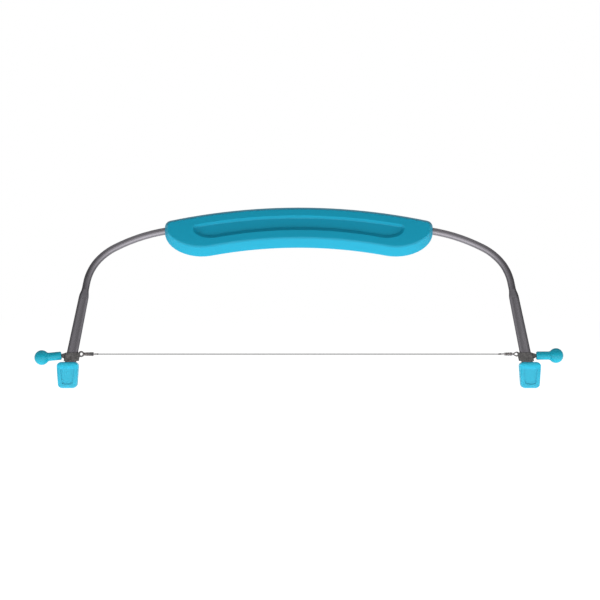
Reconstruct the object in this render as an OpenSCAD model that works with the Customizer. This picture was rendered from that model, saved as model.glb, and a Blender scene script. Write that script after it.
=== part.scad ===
// Wire cake leveler. A bent rod bow carries a two-part moulded grip, stands on two push-on feet
// and holds a cutting wire taut between its legs. Each wire end hangs on a strip clip that slides
// along the flattened leg and is moved by its own knob.
// X runs along the wire, Z is up and Y is front to back. The origin is on the floor, midway between the feet.

/* [Bow] */
// Diameter of the bent rod
rod_d = 4.3; // [3.4:0.1:5.2]
// Height of the rod's centreline above the floor, at the middle of the bow
bow_apex = 100.3; // [85:1:120]
// Bend radius of the long crown inside the grip
crown_r = 515; // [400:5:700]
// Slope of the rod where the crown ends
crown_slope = 8.8; // [8:0.1:10]
// Bend radius of the outer part of the top run
shoulder_r = 105; // [80:1:140]
// Slope of the rod where the shoulder bend ends
shoulder_slope = 27; // [20:1:34]
// Bend radius between the shoulder and the knee
haunch_r = 36.6; // [30:0.2:46]
// Slope of the rod where the haunch bend ends
haunch_slope = 44.5; // [38:0.5:52]
// Bend radius of the knee above each leg
knee_r = 28.2; // [20:0.2:36]
// How far each leg leans inward from the vertical
leg_lean = 11.55; // [8:0.05:14]

/* [Flattened leg] */
// Length of round leg left straight below the knee
shank_l = 3.6; // [1:0.1:8]
// Length over which the round rod is pressed flat
press_l = 5.4; // [4:0.1:9]
// Width of the flat just below the pressed shoulder
flat_top_w = 5.9; // [5:0.1:6.2]
// Width of the flat at the height of the wire
flat_low_w = 6.7; // [6.3:0.1:7.4]
// Thickness of the flat along its rounded edges
flat_t = 2.5; // [1.8:0.1:2.8]
// Depth of the shallow valley pressed along each face
valley_depth = 0.28; // [0.1:0.02:0.5]

/* [Grip] */
// Overall length of the grip
grip_l = 160.4; // [145:0.2:175]
// Height of the grip at its middle
grip_h = 24; // [21:0.5:28]
// Thickness of the grip from front face to back face
grip_t = 19; // [16:0.5:24]
// Distance from the rod's centreline up to the top of the grip
grip_over_rod = 7.8; // [6.5:0.1:9]
// Radius of the arched top edge
grip_top_r = 380; // [300:5:500]
// Radius of the arched underside
grip_under_r = 290; // [240:5:360]
// Width of the rounded lobe at each end of the underside
lobe_w = 21.9; // [18:0.1:26]
// Height of the rounded lobe at each end of the underside
lobe_h = 14.2; // [12:0.1:15]
// Radius of the upper corner at each end
grip_corner_r = 4; // [3.4:0.1:5]
// Width of the sloping band along the underside
band_under = 6.8; // [5:0.1:9]
// Width of the sloping band around the ends
band_end = 2.4; // [2:0.1:4]
// Width of the sloping band along the top
band_top = 1.4; // [1:0.1:3]
// How far back the sloping band reaches from the face
band_depth = 7; // [4:0.1:7.5]
// Slope of the band against the face, along the underside
band_slope = 50; // [40:1:60]
// Radius between the face and the band, along the underside
band_round_r = 2.6; // [1:0.1:3.5]
// Clearance between the rod and its channel in the grip
rod_clearance = 0.1; // [0.05:0.01:0.2]

/* [Grip recess] */
// Overall length of the finger recess in each face
recess_l = 126.4; // [100:0.2:132]
// Height of the finger recess at its middle
recess_h = 8.7; // [7:0.1:10]
// Distance from the top of the grip down to the recess
recess_drop = 4.9; // [3.4:0.1:5.2]
// Radius of the upper edge of the recess
recess_top_r = 354; // [300:2:450]
// Radius of the lower edge of the recess
recess_under_r = 276; // [240:2:340]
// Depth of the recess
recess_depth = 1.8; // [1:0.1:2.6]
// Width of the sloping wall around the recess
recess_wall = 2; // [1:0.1:2.6]

/* [Grip inside] */
// Least wall left between the outline and the cored-out pockets
core_wall = 3.6; // [3:0.1:5]
// Depth of the pockets from the joint between the two halves
core_depth = 4.6; // [3:0.1:5]
// Distance between the ribs that carry the rod
rib_pitch = 17; // [14:0.5:22]
// Thickness of a rib
rib_t = 1.8; // [1.4:0.1:2.6]
// Diameter of a locating peg
peg_d = 3.6; // [3:0.1:4.4]
// Length of a locating peg
peg_l = 3.6; // [2:0.1:4.2]
// Diameter of the boss around a locating peg
boss_d = 7; // [6.6:0.1:7.6]
// Distance of the inner and outer pegs from the middle
peg_places = [17, 51]; // [0:1:70]
// How far the pegs lie below the rod's centreline
peg_drop = 9.4; // [8.6:0.1:10]
// Clearance between a peg and its hole
peg_clearance = 0.1; // [0.05:0.01:0.2]

/* [Foot] */
// Height of a foot
foot_h = 15.6; // [13:0.1:16]
// Width of a foot near its top
foot_top_w = 12.9; // [12.4:0.1:14]
// Width of a foot near its sole
foot_sole_w = 11.3; // [10.8:0.1:12.6]
// Depth of a foot from front to back
foot_d = 9.6; // [8:0.1:12]
// Radius of the foot's corners seen from the front
foot_corner_r = 2.6; // [1.6:0.1:3]
// Radius that rounds the foot's front and back edges
foot_edge_r = 1.8; // [1:0.1:2.4]
// Radius that rounds the foot over at its top, towards the front and back
foot_crown_r = 3.4; // [2:0.1:4]
// Thickness of the sole under the end of the leg
foot_sole_t = 2.8; // [2:0.1:4]
// Clearance between the leg and the socket in the foot
socket_clearance = 0.1; // [0.05:0.01:0.2]
// Width of the rim around the sunk panel in each face of a foot
foot_rim = 2.3; // [1.8:0.1:3]
// Height of the rim above the sunk panel
foot_brow = 3.3; // [2.4:0.1:4]
// Depth of the sunk panel
foot_panel_depth = 0.5; // [0.2:0.1:0.9]

/* [Wire] */
// Height of the wire above the floor at its lowest setting
wire_z = 20.3; // [19.4:0.1:24]
// Diameter of the cutting wire
wire_d = 0.4; // [0.3:0.05:0.6]
// How far the wire can be raised
wire_rise = 30; // [0:1:32]
// Diameter of the doubled strand that forms the eye and its wrapping
strand_d = 0.7; // [0.5:0.05:0.75]
// Radius of the eye, to the middle of its strand
eye_r = 1.55; // [1.5:0.05:1.9]
// Distance between the turns of the wrapping
wrap_pitch = 1.15; // [1.05:0.01:1.3]
// Gap between the wire and the wrapping that it slides in
wrap_clearance = 0.12; // [0.08:0.01:0.2]
// Length of wire inside the wrapping at the lowest setting
wire_engaged = 1.7; // [1:0.1:3]

/* [Clip] */
// Thickness of the strip
strip_t = 0.45; // [0.4:0.05:0.7]
// Height of the strip where it goes round the leg
strip_h = 5.1; // [4.8:0.1:5.8]
// Gap between the foot and the clip at its lowest setting
clip_over_foot = 0.55; // [0.3:0.05:1]
// Gap between the strip and the faces and outer edge of the leg
clip_clearance = 0.3; // [0.3:0.01:0.6]
// Gap left on each side of the eye where it passes the clip
eye_clearance = 0.1; // [0.08:0.01:0.2]
// Height of the bar that the eye hangs on
eye_bar_h = 0.6; // [0.4:0.05:0.7]
// Radius of the strip's bends, on the outside
strip_bend_r = 0.9; // [0.8:0.05:1.2]
// Height of the neck where it enters the knob
neck_h = 2; // [1.6:0.1:2.4]
// Length of the tang inside the knob
tang_l = 6; // [4:0.1:8]

/* [Knob] */
// Height of the knob's inner end above the floor at the lowest setting
knob_z = 19.4; // [19:0.1:20.4]
// Distance from the middle of the leg to the knob's inner end
knob_reach = 6.2; // [6:0.1:8]
// Length of a knob
knob_l = 16.3; // [14:0.1:20]
// Diameter of the ball at its end
ball_d = 8.9; // [7.4:0.1:10]
// Diameter of its stem
stem_d = 5; // [4.4:0.1:6]
// Radius of the fillet between the stem and the ball
knob_fillet_r = 1.6; // [1:0.1:2.4]
// Radius of the edge at the stem's inner end
stem_edge_r = 0.7; // [0.3:0.1:1]
// Clearance around the corners of the tang in the knob's hole
tang_clearance = 0.05; // [0.03:0.01:0.15]
// Droop of the left knob below the horizontal, from the play of its clip
left_droop = 5.8; // [0:0.1:8]

/* [Hidden] */

LEFT = -1;
RIGHT = 1;
cut_margin = 0.5;
round_fn = 48;
grip_blue = [0.11, 0.52, 0.65];
foot_blue = [0.28, 0.75, 0.88];
rod_grey = [0.43, 0.42, 0.46];
strip_grey = [0.40, 0.37, 0.36];
wire_grey = [0.72, 0.72, 0.74];

rod_r = rod_d / 2;

// Bend radii and the slopes at which the bends end, from the middle of the bow outward
bend_radii = [crown_r, shoulder_r, haunch_r, knee_r];
bend_slopes = [crown_slope, shoulder_slope, haunch_slope, 90 - leg_lean];
function toward(slope) = [sin(slope), cos(slope)];
function bend_centre(i) = i == 0
    ? [0, bow_apex - crown_r]
    : bend_centre(i - 1) + (bend_radii[i - 1] - bend_radii[i]) * toward(bend_slopes[i - 1]);
knee_end = bend_centre(3) + knee_r * toward(bend_slopes[3]);

// Middle of the right leg at a height above the floor
function leg_x(z) = knee_end.x + (knee_end.y - z) * tan(leg_lean);
// Distance along the leg from the height of the wire, for a height above the floor
function along_leg(z) = (z - wire_z) / cos(leg_lean);

press_start = along_leg(knee_end.y) - shank_l;
flat_start = press_start - press_l;
flat_end = along_leg(foot_sole_t);
flat_edge_r = flat_t / 2;
flat_spread = (flat_low_w - flat_top_w) / 2 / flat_start;
function flat_w(along) = flat_low_w - 2 * flat_spread * along;

// Outline of the right half of a shape that is mirrored about the middle, made whole
function reversed(list) = [for (i = [len(list) - 1 : -1 : 0]) list[i]];
function whole(right) = concat(
    right,
    [for (p = reversed(right)) if (p.x > 0.01) [-p.x, p.y]]
);
function arc_points(centre, radius, from, to, steps) = [
    for (i = [0 : steps]) let (a = from + (to - from) * i / steps) centre + radius * [cos(a), sin(a)]
];
function ellipse_points(centre, half, from, to, steps) = [
    for (i = [0 : steps]) let (a = from + (to - from) * i / steps)
        centre + [half.x * cos(a), half.y * sin(a)]
];
// Inward normal of a counter-clockwise outline at one of its points
function inward(outline, i) = let (
    n = len(outline),
    along = outline[(i + 1) % n] - outline[(i + n - 1) % n]
) [-along.y, along.x] / norm(along);
function inset(outline, amounts) = [
    for (i = [0 : len(outline) - 1]) outline[i] + amounts[i] * inward(outline, i)
];
function even(outline, amount) = [for (p = outline) amount];

// An arched bar with a lobe at each end of its underside: the grip and its recess both have this form
function arched_outline(half_l, top_z, top_r, under_z, under_r, lobe, corner_r, steps) = let (
    lobe_x = half_l - lobe.x,
    curl = lobe.y / (lobe.x * lobe.x),
    meet_x = lobe_x * curl / (1 / under_r + curl),
    under_c = [0, under_z - under_r],
    top_c = [0, top_z - top_r],
    meet_a = acos(meet_x / under_r),
    meet_lobe = (lobe_x - meet_x) / lobe.x,
    lobe_c = [lobe_x, under_c.y + under_r * sin(meet_a) + lobe.y * sqrt(1 - meet_lobe * meet_lobe)],
    corner_x = half_l - corner_r,
    corner_c = [corner_x, top_c.y + sqrt(pow(top_r - corner_r, 2) - corner_x * corner_x)],
    corner_a = acos(corner_x / (top_r - corner_r)),
    under = arc_points(under_c, under_r, 90, meet_a, steps),
    lobe_run = ellipse_points(lobe_c, lobe, -90 - asin(meet_lobe), 0, steps),
    corner = arc_points(corner_c, corner_r, 0, corner_a, 5),
    top = arc_points(top_c, top_r, corner_a, 90, steps)
) whole(concat(
    under,
    [for (i = [1 : steps]) lobe_run[i]],
    corner,
    [for (i = [1 : steps]) top[i]]
));

grip_top = bow_apex + grip_over_rod;
grip_under = grip_top - grip_h;
grip_outline = arched_outline(
    grip_l / 2, grip_top, grip_top_r, grip_under, grip_under_r, [lobe_w, lobe_h], grip_corner_r, 12
);
recess_lobe = [recess_h * 1.2, recess_h * 0.62];
recess_corner_r = recess_h * 0.24;
recess_outline = arched_outline(
    recess_l / 2, grip_top - recess_drop, recess_top_r, grip_top - recess_drop - recess_h,
    recess_under_r, recess_lobe, recess_corner_r, 8
);

// Width of the sloping band at each point of the grip's outline
grip_bands = [
    for (i = [0 : len(grip_outline) - 1]) let (down = inward(grip_outline, i).y)
        down > 0 ? band_end + (band_under - band_end) * down : band_end - (band_top - band_end) * down
];
// The band's section, from the outer edge to the face: how far in, as a share of the band's width, and how
// far back. A radius turns out of the face into the slope, and the slope turns softly into the joint wall.
band_steps = 5;
edge_share = 0.035;
slope_from = [band_under - band_round_r * sin(band_slope), band_round_r * (1 - cos(band_slope))];
edge_back = slope_from.y + (slope_from.x - edge_share * band_under) * tan(band_slope);
band_section = concat(
    [[0, band_depth], [0.3 * edge_share, (edge_back + band_depth) / 2], [edge_share, edge_back]],
    [
        for (k = [band_steps : -1 : 0]) let (a = band_slope * k / band_steps)
            [1 - band_round_r * sin(a) / band_under, band_round_r * (1 - cos(a))]
    ]
);

// Walls between rings of corners that follow each other along a path
function ring_walls(count, sides) = [
    for (i = [0 : count - 2]) for (k = [0 : sides - 1]) let (
        a = i * sides + k,
        b = i * sides + (k + 1) % sides,
        c = a + sides,
        d = b + sides
    ) each [[a, b, c], [b, d, c]]
];
function turned(faces) = [for (f = faces) reversed(f)];

// Closed skin over such rings
module skinned(rings) {
    sides = len(rings[0]);
    start_cap = [for (k = [0 : sides - 1]) k];
    end_cap = [for (k = start_cap) (len(rings) - 1) * sides + k];
    polyhedron(
        [for (ring = rings) each ring],
        concat(ring_walls(len(rings), sides), turned([start_cap]), [end_cap])
    );
}

// Triangles between two chains of corners that both run from left to right, the next one taken by its X
function laced(outline, low, high, i = 0, j = 0) =
    i == len(low) - 1 && j == len(high) - 1
        ? []
        : j == len(high) - 1 || (i < len(low) - 1 && outline[low[i + 1]].x < outline[high[j + 1]].x)
            ? concat([[low[i], low[i + 1], high[j]]], laced(outline, low, high, i + 1, j))
            : concat([[low[i], high[j + 1], high[j]]], laced(outline, low, high, i, j + 1));

// Triangles that fill a counter-clockwise outline whose under side and top both run once from tip to tip
function filled(outline) = let (
    n = len(outline),
    across = [for (p = outline) p.x],
    left = search(min(across), across)[0],
    right = search(max(across), across)[0],
    low = [for (k = [1 : (right - left + n) % n - 1]) (left + k) % n],
    high = [for (k = [1 : (left - right + n) % n - 1]) (left - k + n) % n]
) concat(
    [[left, low[0], high[0]]],
    laced(outline, low, high),
    [[low[len(low) - 1], right, high[len(high) - 1]]]
);

// Solid through outlines with equal counts of points, each at its own place from front to back
module lofted(outlines, places) {
    sides = len(outlines[0]);
    last = len(outlines) - 1;
    end_cap = [for (f = filled(outlines[last])) [for (k = f) last * sides + k]];
    polyhedron(
        [for (k = [0 : last]) for (p = outlines[k]) [p.x, places[k], p.y]],
        concat(turned(ring_walls(last + 1, sides)), filled(outlines[0]), turned(end_cap))
    );
}

// Places its children on the left or the right side
module on_side(side) {
    mirror([side == LEFT ? 1 : 0, 0, 0]) children();
}

// The right leg's own frame: Z runs up along the leg from the height of the wire, X points outward
module leg_frame() {
    translate([leg_x(wire_z), 0, wire_z]) rotate([0, -leg_lean, 0]) children();
}

// A flat shape drawn in X and Z, made thick about the middle plane
module upright(thickness) {
    rotate([90, 0, 0]) linear_extrude(thickness, center = true) children();
}

module soft_rect(size, r) {
    square([size.x - 2 * r, size.y], center = true);
    square([size.x, size.y - 2 * r], center = true);
    for (x = [-1, 1], y = [-1, 1])
        translate([x * (size.x / 2 - r), y * (size.y / 2 - r)]) circle(r, $fn = round_fn);
}

// The rod's round run, from one knee over the grip to the other
module round_run(r) {
    for (i = [0 : 3]) {
        start = i == 0 ? 0 : bend_slopes[i - 1];
        c = bend_centre(i);
        for (side = [LEFT, RIGHT]) on_side(side)
            translate([c.x, 0, c.y]) rotate([90, 0, 0]) rotate([0, 0, 90 - bend_slopes[i]])
                rotate_extrude(angle = bend_slopes[i] - start, $fn = 180)
                    translate([bend_radii[i], 0]) circle(r, $fn = round_fn);
    }
}

// The pressed part of the leg: two rounded edges and the web between them
module flat_run(clearance, web_t, low, high) {
    r = flat_edge_r + clearance;
    low_x = flat_w(low) / 2 - flat_edge_r;
    high_x = flat_w(high) / 2 - flat_edge_r;
    lean = atan2(low_x - high_x, high - low);
    for (side = [LEFT, RIGHT]) on_side(side)
        translate([low_x, 0, low]) rotate([0, -lean, 0])
            cylinder(h = (high - low) / cos(lean), r = r, $fn = round_fn);
    upright(web_t) polygon([[-low_x, low], [low_x, low], [high_x, high], [-high_x, high]]);
}

// Stations along the right half of the rod, from the middle of the bow down to the end of the leg.
// Each holds a point, the slope there, the half width and half thickness, and how flat the section is.
bend_steps = [10, 7, 7, 12];
bend_stations = [
    for (i = [0 : 3]) for (k = [(i == 0 ? 0 : 1) : bend_steps[i]]) let (
        start = i == 0 ? 0 : bend_slopes[i - 1],
        slope = start + (bend_slopes[i] - start) * k / bend_steps[i]
    ) [bend_centre(i) + bend_radii[i] * toward(slope), slope, rod_r, rod_r, 0]
];
function leg_point(along) = knee_end + (along_leg(knee_end.y) - along) * [sin(leg_lean), -cos(leg_lean)];
press_stations = [
    for (k = [0 : 6]) let (part = k / 6, ease = part * part * (3 - 2 * part)) [
        leg_point(press_start - press_l * part),
        90 - leg_lean,
        rod_r + (flat_top_w / 2 - rod_r) * ease,
        rod_r + (flat_t / 2 - rod_r) * ease,
        ease
    ]
];
flat_stations = [
    for (along = [flat_start / 2, flat_end])
        [leg_point(along), 90 - leg_lean, flat_w(along) / 2, flat_t / 2, 1]
];
half_stations = concat(bend_stations, press_stations, flat_stations);

// Section of the rod at an angle round it: a circle that is pressed into a bar with rounded edges
// and a shallow valley along each face
face_share = 0.625;
function section_point(a, half_w, half_t, flatness) = let (
    c = abs(cos(a)),
    past = max(0, (c - face_share) / (1 - face_share)),
    flat_u = c < face_share ? (half_w - half_t) * c / face_share : half_w - half_t + half_t * past,
    flat_v = c < face_share
        ? half_t - valley_depth * (1 - c / face_share)
        : half_t * sqrt(1 - past * past),
    u = half_w * c * (1 - flatness) + flat_u * flatness,
    v = half_t * abs(sin(a)) * (1 - flatness) + flat_v * flatness
) [u * sign(cos(a)), v * sign(sin(a))];

rod_sides = 24;
function rod_ring(station, side) = let (along = side * station[1]) [
    for (k = [0 : rod_sides - 1]) let (
        q = section_point(360 * (k + 0.5) / rod_sides, station[2], station[3], station[4])
    ) [side * station[0].x + q.x * sin(along), q.y, station[0].y + q.x * cos(along)]
];

module bow_frame() {
    rings = concat(
        [for (s = reversed(half_stations)) rod_ring(s, LEFT)],
        [for (i = [1 : len(half_stations) - 1]) rod_ring(half_stations[i], RIGHT)]
    );
    color(rod_grey) skinned(rings);
}

// Where the pegs lie, as distances from the middle and heights
peg_points = [
    for (x = peg_places, side = [LEFT, RIGHT])
        [side * x, bow_apex - crown_r + sqrt(crown_r * crown_r - x * x) - peg_drop]
];
rib_count = floor((grip_l / 2 - core_wall) / rib_pitch);

module core_pockets() {
    core = inset(grip_outline, even(grip_outline, core_wall));
    difference() {
        translate([0, -core_depth / 2, 0]) upright(core_depth) polygon(core);
        for (i = [-rib_count : rib_count])
            translate([i * rib_pitch - rib_t / 2, -core_depth - cut_margin, 0])
                cube([rib_t, core_depth + 2 * cut_margin, grip_top + grip_h]);
        for (p = peg_points)
            translate([p.x, cut_margin, p.y]) rotate([90, 0, 0])
                cylinder(h = core_depth + 2 * cut_margin, d = boss_d, $fn = round_fn);
    }
}

// One half of the grip, in front of the joint plane: skin, recess, rod channel and ribbed pockets
module grip_half() {
    face = -grip_t / 2;
    skin = concat(
        [grip_outline],
        [for (q = band_section) inset(grip_outline, grip_bands * q[0])]
    );
    skin_places = concat([0], [for (q = band_section) face + q[1]]);
    floor_outline = inset(recess_outline, even(recess_outline, recess_wall));
    knee_outline = inset(recess_outline, even(recess_outline, recess_wall * 0.72));
    difference() {
        lofted(skin, skin_places);
        lofted(
            [floor_outline, knee_outline, recess_outline, recess_outline],
            [face + recess_depth, face + recess_depth * 0.86, face, face - cut_margin]
        );
        core_pockets();
        round_run(rod_r + rod_clearance);
    }
}

module handle_front() {
    color(grip_blue) {
        grip_half();
        for (p = peg_points)
            translate([p.x, peg_l, p.y]) rotate([90, 0, 0])
                cylinder(h = peg_l + cut_margin, d = peg_d, $fn = round_fn);
    }
}

module handle_rear() {
    color(grip_blue) difference() {
        mirror([0, 1, 0]) grip_half();
        for (p = peg_points)
            translate([p.x, peg_l + peg_clearance, p.y]) rotate([90, 0, 0])
                cylinder(h = peg_l + peg_clearance + cut_margin, d = peg_d + 2 * peg_clearance, $fn = round_fn);
    }
}

foot_x = leg_x(foot_h / 2);

// Front view of a foot about its own middle, smaller by a margin, and by another one at the top
function foot_outline(margin, brow) = let (
    r = foot_corner_r - margin / 2,
    top = [foot_top_w / 2 - margin - r, foot_h - brow - r],
    sole = [foot_sole_w / 2 - margin - r, margin + r]
) whole(concat(
    [[0, margin]],
    arc_points(sole, r, -90, -3, 6),
    arc_points(top, r, -3, 90, 6),
    [[0, foot_h - brow]]
));
// Side view of a foot, rounded over more at its top
foot_side = whole(concat(
    [[0, 0]],
    arc_points([foot_d / 2 - foot_edge_r, foot_edge_r], foot_edge_r, -90, 0, 6),
    arc_points([foot_d / 2 - foot_crown_r, foot_h - foot_crown_r], foot_crown_r, 0, 90, 8),
    [[0, foot_h]]
));

module foot(side) {
    color(foot_blue) on_side(side) difference() {
        intersection() {
            translate([foot_x, 0, 0]) upright(foot_d) polygon(foot_outline(0, 0));
            translate([foot_x, 0, 0]) rotate([90, 0, 90])
                linear_extrude(foot_top_w + 2, center = true) polygon(foot_side);
            translate([foot_x, 0, -1])
                linear_extrude(foot_h + 2) soft_rect([foot_top_w, foot_d], foot_edge_r);
        }
        leg_frame() flat_run(
            socket_clearance, flat_t + 2 * socket_clearance, flat_end, along_leg(foot_h) + 2
        );
        for (face = [-1, 1])
            translate([foot_x, face * foot_d / 2, 0])
                upright(2 * foot_panel_depth) polygon(foot_outline(foot_rim, foot_brow));
    }
}

module left_foot() {
    foot(LEFT);
}

module right_foot() {
    foot(RIGHT);
}

// The clip's inside, measured from the middle of the leg: it leaves room for the eye on the inner side
clip_in = flat_low_w / 2 + strand_d + 2 * eye_clearance;
clip_out = flat_low_w / 2 + clip_clearance;
clip_bottom = foot_h + clip_over_foot;
clip_top = clip_bottom + strip_h;
// Middle of the eye, level with the wire and clear of the leg's inner edge
eye_x = leg_x(wire_z) - (flat_low_w / 2 + eye_clearance + strand_d / 2 + eye_r) / cos(leg_lean);
knob_x = leg_x(knob_z) + knob_reach;
tang_t = 2 * strip_t;

module clip(side, droop) {
    mid = (clip_out - clip_in) / 2;
    inside = [clip_in + clip_out, flat_t + 2 * clip_clearance];
    outside = inside + 2 * strip_t * [1, 1];
    wall_x = leg_x(knob_z) + clip_out / cos(leg_lean);
    slot = [3 * strip_t, strand_d + 4 * eye_clearance];
    eye_window = eye_r + strand_d / 2 + eye_clearance;
    color(strip_grey) on_side(side) difference() {
        union() {
            intersection() {
                leg_frame() linear_extrude(4 * strip_h, center = true) translate([mid, 0]) difference() {
                    soft_rect(outside, strip_bend_r);
                    soft_rect(inside, strip_bend_r - strip_t);
                }
                translate([leg_x(wire_z), 0, (clip_bottom + clip_top) / 2])
                    cube([4 * flat_low_w, 4 * flat_low_w, strip_h], center = true);
            }
            upright(tang_t) polygon([
                [wall_x + strip_t / 2, clip_bottom + strip_h * 0.2],
                [knob_x, knob_z - neck_h / 2],
                [knob_x, knob_z + neck_h / 2],
                [wall_x + strip_t / 2, clip_top - strip_h * 0.04]
            ]);
            translate([knob_x, 0, knob_z]) rotate([0, droop, 0])
                translate([-strip_t / 2, -tang_t / 2, -neck_h / 2]) cube([tang_l + strip_t / 2, tang_t, neck_h]);
        }
        for (up = [0, 1])
            translate([eye_x + eye_r - slot.x, -slot.y / 2, wire_z + (up ? eye_bar_h / 2 : -eye_window)])
                cube([2 * slot.x, slot.y, up ? strip_h : eye_window - eye_bar_h / 2]);
    }
}

module left_clip() {
    clip(LEFT, left_droop);
}

module right_clip() {
    clip(RIGHT, 0);
}

module knob_half_section() {
    ball_r = ball_d / 2;
    stem_r = stem_d / 2;
    ball_x = knob_l - ball_r;
    reach = ball_r + knob_fillet_r;
    fillet_y = stem_r + knob_fillet_r;
    fillet_x = ball_x - sqrt(reach * reach - fillet_y * fillet_y);
    touch = atan2(fillet_y, ball_x - fillet_x);
    polygon(concat(
        [[0, 0]],
        arc_points([stem_r - stem_edge_r, stem_edge_r], stem_edge_r, -90, 0, 6),
        arc_points([fillet_y, fillet_x], knob_fillet_r, 180, 90 + touch, 6),
        [
            for (i = [1 : 23]) let (a = 180 - touch - (180 - touch) * i / 24)
                [ball_r * sin(a), ball_x + ball_r * cos(a)]
        ],
        [[0, knob_l]]
    ));
}

module knob(side, droop) {
    hole_d = norm([tang_t, neck_h]) + 2 * tang_clearance;
    color(foot_blue) on_side(side) translate([knob_x, 0, knob_z]) rotate([0, 90 + droop, 0]) difference() {
        rotate_extrude($fn = 72) knob_half_section();
        translate([0, 0, -cut_margin])
            cylinder(h = tang_l + tang_clearance + cut_margin, d = hole_d, $fn = round_fn);
    }
}

module left_knob() {
    knob(LEFT, left_droop);
}

module right_knob() {
    knob(RIGHT, 0);
}

// The wrapping runs along the wire, long enough for the wire to slide in as the clips close up
slide_in = wire_rise * tan(leg_lean);
wrap_r = wire_d / 2 + wrap_clearance + strand_d / 2;
wrap_start = eye_r + 2 * strand_d;
wrap_turns = ceil((wire_engaged + slide_in) / wrap_pitch);
wrap_end = wrap_start + wrap_turns * wrap_pitch;
wire_half = eye_x - wrap_end + wire_engaged;

// Path of the strand about the middle of the eye: once round the eye, then in turns along the wire
eye_from = 12;
eye_to = 312;
eye_path = [
    for (i = [0 : 24]) let (a = eye_from + (eye_to - eye_from) * i / 24) [eye_r * cos(a), 0, eye_r * sin(a)]
];
wrap_path = [
    for (i = [0 : 8 * wrap_turns])
        let (a = -90 - i * 45) [wrap_start + wrap_pitch * i / 8, wrap_r * cos(a), wrap_r * sin(a)]
];
strand_path = concat(eye_path, wrap_path);
// Gaps between the strand and itself, from each point to those that lie more than half a turn further on
strand_gaps = [
    for (i = [0 : len(strand_path) - 7]) for (j = [i + 6 : len(strand_path) - 1])
        norm(strand_path[i] - strand_path[j]) - strand_d
];
echo(strand_least_gap = min(strand_gaps));

function unit(v) = v / norm(v);
// A ring of corners square to the path; the path never runs straight along the guide direction
function ring_at(path, i, r, sides) = let (
    n = len(path),
    ahead = unit(path[min(i + 1, n - 1)] - path[max(i - 1, 0)]),
    guide = i < len(eye_path) ? [0, 1, 0] : unit([0, path[i].y, path[i].z]),
    across = unit(cross(ahead, guide)),
    up = cross(across, ahead)
) [for (k = [0 : sides - 1]) path[i] + r * (across * cos(360 * k / sides) + up * sin(360 * k / sides))];

module swept(path, r, sides) {
    skinned([for (i = [0 : len(path) - 1]) ring_at(path, i, r, sides)]);
}

module wire_eye(side) {
    color(wire_grey) on_side(side) translate([eye_x, 0, wire_z]) mirror([1, 0, 0])
        swept(strand_path, strand_d / 2, 6);
}

module left_wire_eye() {
    wire_eye(LEFT);
}

module right_wire_eye() {
    wire_eye(RIGHT);
}

module cutting_wire() {
    color(wire_grey) translate([0, 0, wire_z]) rotate([0, 90, 0])
        cylinder(h = 2 * wire_half, d = wire_d, center = true, $fn = 24);
}

bow_frame();
handle_front();
handle_rear();
left_foot();
right_foot();
left_clip();
right_clip();
left_knob();
right_knob();
left_wire_eye();
right_wire_eye();
cutting_wire();
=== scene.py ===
"""Looks of a wire cake leveler: finishes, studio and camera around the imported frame."""

import logging
import math
from dataclasses import dataclass, field
from enum import Enum
from typing import Dict, Optional, Tuple, Union

import bpy
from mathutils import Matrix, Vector


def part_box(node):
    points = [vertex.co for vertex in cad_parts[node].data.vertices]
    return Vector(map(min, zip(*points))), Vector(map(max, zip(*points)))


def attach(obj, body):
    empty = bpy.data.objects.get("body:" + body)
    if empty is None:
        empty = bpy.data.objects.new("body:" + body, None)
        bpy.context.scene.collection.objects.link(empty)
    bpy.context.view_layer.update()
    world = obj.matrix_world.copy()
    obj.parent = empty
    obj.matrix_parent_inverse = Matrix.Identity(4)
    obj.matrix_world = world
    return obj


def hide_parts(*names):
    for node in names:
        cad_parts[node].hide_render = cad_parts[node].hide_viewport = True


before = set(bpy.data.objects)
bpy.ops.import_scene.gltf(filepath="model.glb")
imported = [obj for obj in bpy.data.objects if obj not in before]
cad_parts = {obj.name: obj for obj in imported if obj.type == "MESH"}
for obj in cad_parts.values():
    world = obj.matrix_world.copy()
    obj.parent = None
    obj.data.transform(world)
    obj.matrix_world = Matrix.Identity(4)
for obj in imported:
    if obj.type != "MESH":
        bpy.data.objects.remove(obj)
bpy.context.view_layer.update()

MM = 0.001
QUARTER_TURN = math.radians(90)
WHITE = (1.0, 1.0, 1.0, 1.0)
CHANNEL_FULL = 255
SCREEN_KNEE, SCREEN_SLOPE = 0.04045, 12.92
SCREEN_OFFSET, SCREEN_POWER = 0.055, 2.4
log = logging.getLogger("leveler")

Colour = Tuple[float, float, float]
Value = Union[float, Tuple[float, ...], bpy.types.NodeSocket]
Feeds = Dict[Union[str, int], Value]


class Side(Enum):
    """The two ends of the cutting wire."""

    LEFT = "left"
    RIGHT = "right"

    @property
    def inward(self) -> float:
        """Which way along X the wire's middle lies from this end."""
        return 1.0 if self is Side.LEFT else -1.0


def linear(red: int, green: int, blue: int) -> Colour:
    """Turn a screen colour into scene-linear values.

    Args:
        red: red from 0 to 255.
        green: green from 0 to 255.
        blue: blue from 0 to 255.

    Returns:
        The linear colour.
    """

    def channel(value: int) -> float:
        """Give the linear value of one channel.

        Args:
            value: the channel from 0 to 255.

        Returns:
            The value from 0 to 1.
        """
        part = value / CHANNEL_FULL
        if part <= SCREEN_KNEE:
            return part / SCREEN_SLOPE
        return ((part + SCREEN_OFFSET) / (1.0 + SCREEN_OFFSET)) ** SCREEN_POWER

    return channel(red), channel(green), channel(blue)


def select_only(piece: bpy.types.Object) -> None:
    """Select one object alone and make it active.

    Args:
        piece: the object.
    """
    bpy.ops.object.select_all(action="DESELECT")
    piece.select_set(True)
    bpy.context.view_layer.objects.active = piece


def apply_place() -> None:
    """Put the place and turn of what is selected into its mesh."""
    bpy.ops.object.transform_apply(location=True, rotation=True, scale=True)


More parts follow.
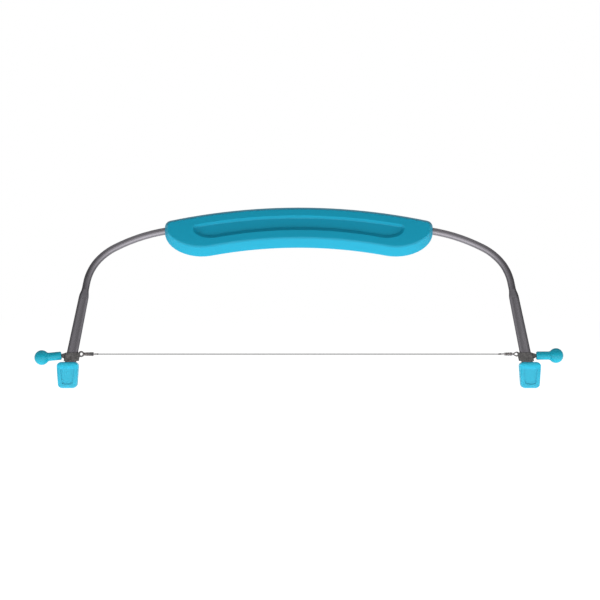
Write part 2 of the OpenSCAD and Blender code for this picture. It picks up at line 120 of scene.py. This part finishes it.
@dataclass(frozen=True)
class Graph:
    """A shader node tree, with short ways to add and feed its nodes."""

    tree: bpy.types.NodeTree

    def feed(self, node: bpy.types.Node, inputs: Feeds) -> None:
        """Link each input to a socket, or set it to a plain value.

        Args:
            node: the node that is fed.
            inputs: a socket or a value for each input, by its name or number.
        """
        for key, value in inputs.items():
            if isinstance(value, bpy.types.NodeSocket):
                self.tree.links.new(value, node.inputs[key])
            else:
                node.inputs[key].default_value = value

    def node(
        self, kind: str, inputs: Optional[Feeds] = None, **settings: object,
    ) -> bpy.types.Node:
        """Add a node.

        Args:
            kind: its type, as ShaderNode's name goes on.
            inputs: what its inputs are fed.
            **settings: its properties, which are set before it is fed.

        Returns:
            The node.
        """
        node = self.tree.nodes.new(f"ShaderNode{kind}")
        for key, value in settings.items():
            setattr(node, key, value)
        self.feed(node, inputs or {})
        return node

    def maths(
        self, operation: str, *values: Value, clamp: bool = False,
    ) -> bpy.types.NodeSocket:
        """Work out a value from numbers or sockets.

        Args:
            operation: what the Math node does.
            *values: its inputs in order.
            clamp: keep the result between 0 and 1.

        Returns:
            The socket with the result.
        """
        feeds = dict(enumerate(values))
        return self.node("Math", feeds, operation=operation, use_clamp=clamp).outputs[0]

    def mixed(self, mask: Value, low: Value, high: Value, **settings: str) -> bpy.types.NodeSocket:
        """Mix two values by a mask.

        Args:
            mask: share of the second value, from 0 to 1.
            low: what is taken at 0.
            high: what is taken at 1.
            **settings: kind of data and of blend, where it isn't a plain mix of numbers.

        Returns:
            The mixed socket.
        """
        mix = self.node("Mix", {"Factor": mask, "A": low, "B": high}, **settings)
        return mix.outputs["Result"]

    def along(self, axis: str, coordinates: str = "Object") -> bpy.types.NodeSocket:
        """Read where a point lies along one axis.

        Args:
            axis: X, Y or Z.
            coordinates: the texture coordinates to read.

        Returns:
            The axis's socket.
        """
        place = self.node("TexCoord").outputs[coordinates]
        return self.node("SeparateXYZ", {0: place}).outputs[axis]


@dataclass(frozen=True)
class Ramp:
    """A smooth change from one value to another between two places on an axis."""

    begin: float
    end: float
    low: float
    high: float

    def socket(self, graph: Graph, place: bpy.types.NodeSocket) -> bpy.types.NodeSocket:
        """Add the ramp to a node tree.

        Args:
            graph: the node tree.
            place: socket with the place of the point.

        Returns:
            The socket with the value.
        """
        feeds = {
            "Value": place, "From Min": self.begin, "From Max": self.end,
            "To Min": self.low, "To Max": self.high,
        }
        return graph.node("MapRange", feeds, interpolation_type="SMOOTHSTEP").outputs["Result"]


@dataclass(frozen=True)
class SurfaceMottle:
    """Shared node group: broad patches of tone, and fine grain in tone, gloss and height."""

    name: str = "SurfaceMottle"
    colours: Tuple[str, ...] = ("Light", "Dark")
    numbers: Tuple[str, ...] = (
        "Broad Scale", "Fine Scale", "Stretch X", "Stretch Y", "Stretch Z",
        "Tone", "Spread", "Gloss Low", "Gloss High", "Height", "Depth",
    )
    broad_detail: float = 3.0
    fine_detail: float = 4.0
    share: float = 0.5
    middle: float = 0.5

    def _begun(self) -> bpy.types.NodeTree:
        """Start the group with its sockets.

        Returns:
            The empty group.
        """
        tree = bpy.data.node_groups.new(self.name, "ShaderNodeTree")
        for colour in self.colours:
            tree.interface.new_socket(colour, in_out="INPUT", socket_type="NodeSocketColor")
        for number in self.numbers:
            tree.interface.new_socket(number, in_out="INPUT", socket_type="NodeSocketFloat")
        tree.interface.new_socket("Colour", in_out="OUTPUT", socket_type="NodeSocketColor")
        tree.interface.new_socket("Roughness", in_out="OUTPUT", socket_type="NodeSocketFloat")
        tree.interface.new_socket("Normal", in_out="OUTPUT", socket_type="NodeSocketVector")
        return tree

    def group(self) -> bpy.types.NodeTree:
        """Build the group, or return it if it is already there.

        Returns:
            The node group.
        """
        made = bpy.data.node_groups.get(self.name)
        if made:
            return made
        made = self._begun()
        graph = Graph(made)
        given = made.nodes.new("NodeGroupInput").outputs
        place = graph.node("TexCoord").outputs["Object"]
        stretch = graph.node("CombineXYZ", {axis: given[f"Stretch {axis}"] for axis in "XYZ"})
        stretched = graph.node(
            "VectorMath", {0: place, 1: stretch.outputs[0]}, operation="MULTIPLY",
        ).outputs[0]
        broad = graph.node("TexNoise", {
            "Vector": place, "Scale": given["Broad Scale"], "Detail": self.broad_detail,
        }).outputs["Fac"]
        fine = graph.node("TexNoise", {
            "Vector": stretched, "Scale": given["Fine Scale"], "Detail": self.fine_detail,
        }).outputs["Fac"]
        blend = graph.maths(
            "MULTIPLY_ADD", fine, self.share, graph.maths("MULTIPLY", broad, self.share),
        )
        patches = graph.node("MapRange", {
            "Value": blend,
            "From Min": graph.maths("SUBTRACT", self.middle, given["Spread"]),
            "From Max": graph.maths("ADD", self.middle, given["Spread"]),
        }).outputs["Result"]
        tone = graph.maths("MULTIPLY", patches, given["Tone"], clamp=True)
        gloss = graph.node("MapRange", {
            "Value": fine, "To Min": given["Gloss Low"], "To Max": given["Gloss High"],
        })
        bump = graph.node("Bump", {
            "Height": fine, "Strength": given["Height"], "Distance": given["Depth"],
        })
        graph.feed(made.nodes.new("NodeGroupOutput"), {
            "Colour": graph.mixed(tone, given["Light"], given["Dark"], data_type="RGBA"),
            "Roughness": gloss.outputs["Result"],
            "Normal": bump.outputs["Normal"],
        })
        return made


@dataclass(frozen=True)
class Finish:
    """One finish of the object: the values that its material takes.

    The depth of its grain is in metres. Its painted light ramps make its colour lighter or
    darker with the height on the object: painted highlight and painted shade.
    """

    name: str
    light: Colour
    dark: Colour
    fine_scale: float
    tone: float
    gloss: Tuple[float, float]
    height: float
    metallic: float = 0.0
    specular: float = 0.5
    broad_scale: float = 40.0
    stretch: Tuple[float, float, float] = (1.0, 1.0, 1.0)
    spread: float = 0.5
    depth: float = 0.02 * MM
    painted_light_ramps: Tuple[Ramp, ...] = ()

    def _mottle(self, graph: Graph) -> bpy.types.Node:
        """Place the shared mottle with this finish's values.

        Args:
            graph: the material's node tree.

        Returns:
            The group's node.
        """
        return graph.node("Group", {
            "Light": (*self.light, 1.0), "Dark": (*self.dark, 1.0),
            "Broad Scale": self.broad_scale, "Fine Scale": self.fine_scale,
            **{f"Stretch {axis}": share for axis, share in zip("XYZ", self.stretch)},
            "Tone": self.tone, "Spread": self.spread,
            "Gloss Low": self.gloss[0], "Gloss High": self.gloss[1],
            "Height": self.height, "Depth": self.depth,
        }, node_tree=SurfaceMottle().group())

    def material(self) -> bpy.types.Material:
        """Build the procedural material, or return it if it is already there.

        Returns:
            The material.
        """
        made = bpy.data.materials.get(self.name)
        if made:
            return made
        made = bpy.data.materials.new(self.name)
        made.use_nodes = True
        graph = Graph(made.node_tree)
        mottle = self._mottle(graph)
        colour = mottle.outputs["Colour"]
        # Painted light and painted shade: the colour is multiplied by each ramp's value at the
        # point's height.
        for ramp in self.painted_light_ramps:
            shade = ramp.socket(graph, graph.along("Z"))
            colour = graph.mixed(1.0, colour, shade, data_type="RGBA", blend_type="MULTIPLY")
        graph.feed(made.node_tree.nodes["Principled BSDF"], {
            "Metallic": self.metallic,
            "Specular IOR Level": self.specular,
            "Base Color": colour,
            "Roughness": mottle.outputs["Roughness"],
            "Normal": mottle.outputs["Normal"],
        })
        return made


GRIP_PLASTIC = Finish(
    "grip_plastic", linear(15, 147, 176), linear(10, 126, 155), specular=0.2,
    fine_scale=4000.0, tone=0.5, gloss=(0.32, 0.42), height=0.12,
)
# Painted light: a lighter copy of the grip's plastic; the top from 10 to 15 mm up is painted
# lighter and the bottom edge below 2.6 mm is painted darker.
FOOT_PLASTIC = Finish(
    "foot_plastic", linear(46, 168, 195), linear(32, 148, 177), specular=0.3,
    fine_scale=4000.0, tone=0.5, gloss=(0.28, 0.38), height=0.12,
    painted_light_ramps=(Ramp(10 * MM, 15 * MM, 1.0, 1.45), Ramp(0.3 * MM, 2.6 * MM, 0.72, 1.0)),
)
KNOB_PLASTIC = Finish(
    "knob_plastic", linear(20, 152, 174), linear(12, 132, 154), specular=0.3,
    fine_scale=4000.0, tone=0.5, gloss=(0.24, 0.34), height=0.12,
)
ROD_STEEL = Finish(
    "rod_steel", linear(178, 174, 180), linear(142, 138, 147), metallic=0.85,
    fine_scale=2400.0, stretch=(1.0, 4.0, 1.0), tone=0.7, spread=0.4,
    gloss=(0.18, 0.28), height=0.05,
    # Painted shade: the rod is darker from 93 mm down to 66 mm and below, on its bends and legs,
    # and darker still between 53.2 and 66 mm, over the press mark, where it hides a highlight.
    painted_light_ramps=(
        Ramp(66 * MM, 93 * MM, 0.35, 1.0),
        Ramp(53.2 * MM, 56 * MM, 1.0, 0.64),
        Ramp(56 * MM, 66 * MM, 1.0, 1.5625),
    ),
)
STRIP_STEEL = Finish(
    "strip_steel", linear(114, 112, 111), linear(32, 29, 30), metallic=0.8, broad_scale=500.0,
    fine_scale=1100.0, tone=0.8, spread=0.17, gloss=(0.3, 0.5), height=0.3,
)
EYE_STEEL = Finish(
    "eye_steel", linear(146, 140, 139), linear(68, 64, 66), metallic=0.8, broad_scale=700.0,
    fine_scale=2500.0, tone=0.9, spread=0.14, gloss=(0.28, 0.45), height=0.2,
)
# Painted light: the same steel as the eye's, painted lighter so that the twist's self-shaded
# strands look brighter.
STRAND_STEEL = Finish(
    "strand_steel", linear(198, 190, 187), linear(106, 100, 102), metallic=0.8, broad_scale=700.0,
    fine_scale=2500.0, tone=0.9, spread=0.14, gloss=(0.28, 0.45), height=0.2,
)
WIRE_STEEL = Finish(
    "wire_steel", linear(34, 33, 36), linear(18, 17, 20), metallic=0.7,
    fine_scale=2500.0, tone=0.6, gloss=(0.25, 0.4), height=0.1,
)


@dataclass(frozen=True)
class Edge:
    """How sharp edges of a piece are softened, in millimetres and degrees."""

    width: float
    over: float
    segments: int = 2


@dataclass
class Dressed:
    """Base of the sub-assemblies: softened, smooth, finished copies that stand for CAD nodes.

    The angles are in degrees and merge_distance is in metres.
    """

    body: str
    slot: str
    finish: Finish
    smooth_angle: float
    edge: Edge = Edge(0.0, 180.0)
    flat_angle: float = 0.4
    merge_distance: float = 0.002 * MM
    face_weight: int = 50

    @staticmethod
    def copied(node: str) -> bpy.types.Object:
        """Copy a CAD node's mesh into a new object and select it alone.

        Args:
            node: name of the CAD node.

        Returns:
            The copy, without the CAD mesh's own normals.
        """
        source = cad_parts[node]
        piece = bpy.data.objects.new(f"{node}_finished", source.data.copy())
        bpy.context.scene.collection.objects.link(piece)
        select_only(piece)
        if piece.data.has_custom_normals:
            bpy.ops.mesh.customdata_custom_splitnormals_clear()
        return piece

    def joined(self) -> None:
        """Merge the active mesh's loose triangles and dissolve the lines across its flat faces."""
        bpy.ops.object.mode_set(mode="EDIT")
        bpy.ops.mesh.select_all(action="SELECT")
        bpy.ops.mesh.remove_doubles(threshold=self.merge_distance)
        bpy.ops.mesh.dissolve_limited(angle_limit=math.radians(self.flat_angle))
        bpy.ops.object.mode_set(mode="OBJECT")

    def softened(self, piece: bpy.types.Object) -> None:
        """Round the sharp edges a little, then weight the normals by the faces' areas.

        Args:
            piece: the active object.
        """
        if self.edge.width:
            bevel = piece.modifiers.new("soft_edges", "BEVEL")
            bevel.width = self.edge.width * MM
            bevel.segments = self.edge.segments
            bevel.limit_method = "ANGLE"
            bevel.angle_limit = math.radians(self.edge.over)
            bevel.use_clamp_overlap = True
            bpy.ops.object.modifier_apply(modifier=bevel.name)
        bpy.ops.object.shade_smooth_by_angle(angle=math.radians(self.smooth_angle))
        weighted = piece.modifiers.new("flat_faces", "WEIGHTED_NORMAL")
        weighted.keep_sharp = True
        weighted.weight = self.face_weight
        bpy.ops.object.modifier_apply(modifier=weighted.name)

    def dress(self, node: str) -> None:
        """Make the finished piece that stands for a CAD node.

        Args:
            node: name of the CAD node.
        """
        piece = self.copied(node)
        self.joined()
        self.softened(piece)
        piece.data.materials.clear()
        piece.data.materials.append(self.finish.material())
        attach(piece, self.body)
        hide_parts(node)
        log.info("%s: %d faces, rides on %s", piece.name, len(piece.data.polygons), self.body)


@dataclass
class Bow(Dressed):
    """The bent rod."""

    body: str = "bow"
    slot: str = "bow_rod"
    finish: Finish = ROD_STEEL
    smooth_angle: float = 40.0

    def build(self) -> None:
        """Dress the rod."""
        self.dress("bow_frame")


@dataclass
class Grip(Dressed):
    """The two moulded halves of the grip."""

    body: str = "bow"
    slot: str = "grip"
    finish: Finish = GRIP_PLASTIC
    smooth_angle: float = 38.0
    edge: Edge = Edge(0.16, 60.0)

    def build(self) -> None:
        """Dress both halves."""
        for node in ("handle_front", "handle_rear"):
            self.dress(node)


@dataclass
class Feet(Dressed):
    """The two feet."""

    body: str = "bow"
    slot: str = "foot"
    finish: Finish = FOOT_PLASTIC
    smooth_angle: float = 38.0
    edge: Edge = Edge(0.25, 60.0)

    def build(self) -> None:
        """Dress both feet."""
        for side in Side:
            self.dress(f"{side.value}_foot")


@dataclass
class Carriage:
    """Clip and knob that slide along one leg."""

    side: Side
    clip_smooth_angle: float = 30.0
    clip_edge: Edge = Edge(0.08, 60.0)
    knob_smooth_angle: float = 40.0

    def build(self) -> None:
        """Dress the carriage's pieces."""
        body = f"{self.side.value}_slider"
        clip = Dressed(body, "strip", STRIP_STEEL, self.clip_smooth_angle, self.clip_edge)
        clip.dress(f"{self.side.value}_clip")
        knob = Dressed(body, "knob", KNOB_PLASTIC, self.knob_smooth_angle)
        knob.dress(f"{self.side.value}_knob")


@dataclass(frozen=True)
class Eye:
    """How an eye of the wire is bent: round, or drawn out to a point towards the twist."""

    height: float = 1.0
    drawn: float = 1.0
    pinch: float = 0.0


@dataclass(frozen=True)
class Twist:
    """Strands laid round the wire: places from the eye's middle and sizes in millimetres."""

    begin: float
    end: float
    strands: int
    radius: float
    orbit: float
    turns: float
    growth: float = 0.0


@dataclass
class WireEnd:
    """Closed eye at one end of the wire, and the twists that hold it.

    The sizes are in millimetres and the angle is in degrees. A twist stays clear of the
    wire: its orbit less its strand's radius, where it is narrowest, is more than the
    radius at which the wire is drawn.
    """

    side: Side
    eye_reach: float = 1.9
    eye_r: float = 1.38
    eye_strand_r: float = 0.5
    eye_segments: int = 40
    eye_sides: int = 12
    pinch_start: float = 0.5
    strand_sides: int = 10
    steps_per_turn: int = 24
    smooth_angle: float = 50.0
    eyes: Dict[Side, Eye] = field(default_factory=lambda: {
        Side.LEFT: Eye(),
        Side.RIGHT: Eye(height=0.82, drawn=1.4, pinch=0.62),
    })
    twists: Dict[Side, Tuple[Twist, ...]] = field(default_factory=lambda: {
        Side.LEFT: (
            Twist(1.7, 7.4, strands=5, radius=0.38, orbit=0.66, turns=1.3, growth=0.22),
            Twist(7.0, 10.2, strands=3, radius=0.16, orbit=0.42, turns=1.6),
        ),
        Side.RIGHT: (
            Twist(2.5, 7.2, strands=4, radius=0.38, orbit=0.7, turns=1.0, growth=-0.1),
            Twist(6.8, 10.8, strands=3, radius=0.17, orbit=0.48, turns=1.8, growth=-0.12),
        ),
    })

    @staticmethod
    def _tapered(
        piece: bpy.types.Object, change: float, start: float = 0.0, keep_depth: bool = False,
    ) -> None:
        """Widen or narrow a piece towards its far end in X.

        Args:
            piece: the active object.
            change: how much wider it becomes, as a share of its width.
            start: share of its length where the change starts.
            keep_depth: leave its depth in Y as it is.
        """
        taper = piece.modifiers.new("taper", "SIMPLE_DEFORM")
        taper.deform_method = "TAPER"
        taper.deform_axis = "X"
        taper.factor = change
        taper.limits = (start, 1.0)
        taper.lock_y = keep_depth
        bpy.ops.object.modifier_apply(modifier=taper.name)

    def ring(self) -> bpy.types.Object:
        """Add the eye as a closed ring that stands upright along the wire.

        Returns:
            The ring, with the half that faces the twist drawn out.
        """
        bpy.ops.object.select_all(action="DESELECT")
        bpy.ops.mesh.primitive_torus_add(
            major_radius=self.eye_r * MM, minor_radius=self.eye_strand_r * MM,
            major_segments=self.eye_segments, minor_segments=self.eye_sides,
            rotation=(QUARTER_TURN, 0.0, 0.0),
        )
        apply_place()
        ring = bpy.context.active_object
        eye = self.eyes[self.side]
        self._tapered(ring, -eye.pinch, self.pinch_start, keep_depth=True)
        bpy.ops.object.mode_set(mode="EDIT")
        bpy.ops.mesh.select_mode(type="VERT")
        bpy.ops.mesh.select_all(action="SELECT")
        bpy.ops.transform.resize(value=(1.0, 1.0, eye.height), center_override=(0.0, 0.0, 0.0))
        bpy.ops.mesh.select_all(action="DESELECT")
        bpy.ops.object.mode_set(mode="OBJECT")
        for vertex in ring.data.vertices:
            vertex.select = vertex.co.x > 0.0
        bpy.ops.object.mode_set(mode="EDIT")
        bpy.ops.transform.resize(value=(eye.drawn, 1.0, 1.0), center_override=(0.0, 0.0, 0.0))
        bpy.ops.object.mode_set(mode="OBJECT")
        ring.data.materials.append(EYE_STEEL.material())
        return ring

    def strand(self, twist: Twist, turned: float) -> bpy.types.Object:
        """Sweep one strand of a twist along X.

        Args:
            twist: the twist that it belongs to.
            turned: angle at which it starts, in radians.

        Returns:
            The strand, closed at both ends.
        """
        orbit = twist.orbit * MM
        bpy.ops.object.select_all(action="DESELECT")
        bpy.ops.mesh.primitive_circle_add(
            vertices=self.strand_sides, radius=twist.radius * MM,
            location=(0.0, orbit * math.cos(turned), orbit * math.sin(turned)),
            rotation=(0.0, QUARTER_TURN, 0.0),
        )
        apply_place()
        piece = bpy.context.active_object
        sweep = piece.modifiers.new("twist", "SCREW")
        sweep.axis = "X"
        sweep.angle = math.tau * twist.turns
        sweep.screw_offset = (twist.end - twist.begin) * MM
        sweep.steps = sweep.render_steps = round(self.steps_per_turn * twist.turns)
        bpy.ops.object.modifier_apply(modifier=sweep.name)
        bpy.ops.object.mode_set(mode="EDIT")
        bpy.ops.mesh.select_all(action="SELECT")
        bpy.ops.mesh.fill_holes(sides=0)
        bpy.ops.mesh.select_all(action="SELECT")
        bpy.ops.mesh.normals_make_consistent(inside=False)
        bpy.ops.object.mode_set(mode="OBJECT")
        self._tapered(piece, twist.growth)
        piece.location = (twist.begin * MM, 0.0, 0.0)
        apply_place()
        piece.data.materials.append(STRAND_STEEL.material())
        return piece

    def build(self) -> None:
        """Make the eye and its twists, put them where the CAD has them, and dress them."""
        node = f"{self.side.value}_wire_eye"
        ring = self.ring()
        strands = [
            self.strand(twist, math.tau * number / twist.strands)
            for twist in self.twists[self.side] for number in range(twist.strands)
        ]
        select_only(ring)
        for strand in strands:
            strand.select_set(True)
        bpy.ops.object.join()
        low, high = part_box(node)
        edge = low[0] if self.side is Side.LEFT else high[0]
        reach = self.side.inward * self.eye_reach * MM
        ring.rotation_euler = (0.0, 0.0, 0.0 if self.side is Side.LEFT else math.pi)
        ring.location = (edge + reach, 0.0, (low[2] + high[2]) / 2)
        apply_place()
        bpy.ops.object.shade_smooth_by_angle(angle=math.radians(self.smooth_angle))
        ring.name = ring.data.name = f"{self.side.value}_wire_end"
        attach(ring, f"{self.side.value}_slider")
        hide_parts(node)
        log.info("%s: %d faces", ring.name, len(ring.data.polygons))


@dataclass
class CuttingWire(Dressed):
    """The straight wire, a little thicker than its solid so that it shows as the real one does."""

    body: str = "wire"
    slot: str = "wire"
    finish: Finish = WIRE_STEEL
    smooth_angle: float = 60.0
    thicker: float = 1.25

    def joined(self) -> None:
        """Merge the wire's mesh, then thicken it about its own line."""
        super().joined()
        low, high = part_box("cutting_wire")
        middle = tuple((a + b) / 2 for a, b in zip(low, high))
        bpy.ops.object.mode_set(mode="EDIT")
        bpy.ops.mesh.select_all(action="SELECT")
        bpy.ops.transform.resize(
            value=(1.0, self.thicker, self.thicker), center_override=middle,
        )
        bpy.ops.object.mode_set(mode="OBJECT")

    def build(self) -> None:
        """Dress the wire."""
        self.dress("cutting_wire")


@dataclass(frozen=True)
class Lamp:
    """One soft rectangular lamp."""

    name: str
    place: Tuple[float, float, float]
    aim: Tuple[float, float, float]
    size: Tuple[float, float]
    power: float

    def light(self) -> None:
        """Add the lamp, unseen by the camera and in the metal."""
        data = bpy.data.lights.new(self.name, "AREA")
        data.shape = "RECTANGLE"
        data.size, data.size_y = self.size
        data.energy = self.power
        lamp = bpy.data.objects.new(self.name, data)
        facing = Vector(self.aim) - Vector(self.place)
        lamp.location = self.place
        lamp.rotation_euler = facing.to_track_quat("-Z", "Y").to_euler()
        lamp.visible_camera = False
        lamp.visible_glossy = False
        bpy.context.scene.collection.objects.link(lamp)


@dataclass
class Studio:
    """Camera, lamps, floor and background.

    The strengths are shares of white: fill is the world's light, ceiling is the world
    overhead in reflections, and the floor is white in reflections up to floor_front
    and floor_rear_glow from floor_rear on.
    """

    frame_width: float = 360 * MM
    distance: float = 1.6
    aim: Tuple[float, float] = (0.7 * MM, 52.75 * MM)
    sensor: float = 36.0
    far_clip: float = 50.0
    fill: float = 0.2
    ceiling: float = 0.3
    horizon: float = 0.3
    floor_size: float = 12.0
    floor_height: float = -0.3 * MM
    floor_paint: float = 0.5
    floor_roughness: float = 0.9
    floor_front: float = -75 * MM
    floor_rear: float = -20 * MM
    floor_rear_glow: float = 0.3
    lamps: Tuple[Lamp, ...] = (
        Lamp("table_glow", (0.0, -110 * MM, -0.1 * MM), (0.0, -110 * MM, 1.0), (0.8, 0.22), 1.32),
        Lamp("table_glow_rear", (0.0, 100 * MM, -0.1 * MM), (0.0, 100 * MM, 1.0), (0.8, 0.2), 1.0),
        Lamp("overhead", (0.1, -0.2, 1.3), (0.0, 0.0, 0.05), (0.9, 0.9), 7.0),
    )

    def camera(self) -> None:
        """Place a long lens level with the middle of the photograph."""
        data = bpy.data.cameras.new("camera")
        data.sensor_width = self.sensor
        data.lens = self.sensor * self.distance / self.frame_width
        data.clip_end = self.far_clip
        camera = bpy.data.objects.new("camera", data)
        camera.location = (self.aim[0], -self.distance, self.aim[1])
        camera.rotation_euler = (QUARTER_TURN, 0.0, 0.0)
        bpy.context.scene.collection.objects.link(camera)
        bpy.context.scene.camera = camera

    @staticmethod
    def _seen(
        graph: Graph, diffuse: float, mirrored: bpy.types.NodeSocket, camera: float,
    ) -> bpy.types.NodeSocket:
        """Choose a strength by the kind of ray.

        Args:
            graph: the node tree.
            diffuse: strength for the light that falls on the object.
            mirrored: strength in reflections and behind glass.
            camera: strength for what the camera sees.

        Returns:
            The socket with the strength.
        """
        ray = graph.node("LightPath").outputs
        either = graph.maths("MAXIMUM", ray["Is Glossy Ray"], ray["Is Transmission Ray"])
        return graph.mixed(
            ray["Is Camera Ray"], graph.mixed(either, diffuse, mirrored), camera,
        )

    def world(self) -> None:
        """Surround the object with soft fill, white to the camera and grey overhead in mirrors."""
        world = bpy.data.worlds.new("studio_world")
        bpy.context.scene.world = world
        world.use_nodes = True
        graph = Graph(world.node_tree)
        room = Ramp(-self.horizon, self.horizon, 1.0, self.ceiling)
        mirrored = room.socket(graph, graph.along("Z", "Generated"))
        graph.feed(world.node_tree.nodes["Background"], {
            "Color": WHITE,
            "Strength": self._seen(graph, self.fill, mirrored, 1.0),
        })

    def floor(self) -> None:
        """Lay a wide pale floor that keeps a faint shadow, and reflects brightest in front."""
        bpy.ops.object.select_all(action="DESELECT")
        bpy.ops.mesh.primitive_plane_add(
            size=self.floor_size, location=(0.0, 0.0, self.floor_height),
        )
        floor = bpy.context.active_object
        floor.name = "floor"
        apply_place()
        paint = bpy.data.materials.new("floor_paint")
        paint.use_nodes = True
        graph = Graph(paint.node_tree)
        depth = Ramp(self.floor_front, self.floor_rear, 1.0, self.floor_rear_glow)
        mirrored = depth.socket(graph, graph.along("Y"))
        lift = 1.0 - self.floor_paint * self.fill
        graph.feed(paint.node_tree.nodes["Principled BSDF"], {
            "Base Color": (*(self.floor_paint,) * 3, 1.0),
            "Roughness": self.floor_roughness,
            "Specular IOR Level": 0.0,
            "Emission Color": WHITE,
            "Emission Strength": self._seen(graph, 0.0, mirrored, lift),
        })
        floor.data.materials.append(paint)

    def build(self) -> None:
        """Build the whole studio."""
        self.camera()
        for lamp in self.lamps:
            lamp.light()
        self.world()
        self.floor()
        bpy.context.scene.view_settings.view_transform = "Standard"


def main() -> None:
    """Build every sub-assembly in order, then the studio."""
    logging.basicConfig(level=logging.INFO, format="%(message)s")
    Bow().build()
    Grip().build()
    Feet().build()
    for side in Side:
        Carriage(side).build()
        WireEnd(side).build()
    CuttingWire().build()
    Studio().build()


if __name__ == "__main__":
    main()
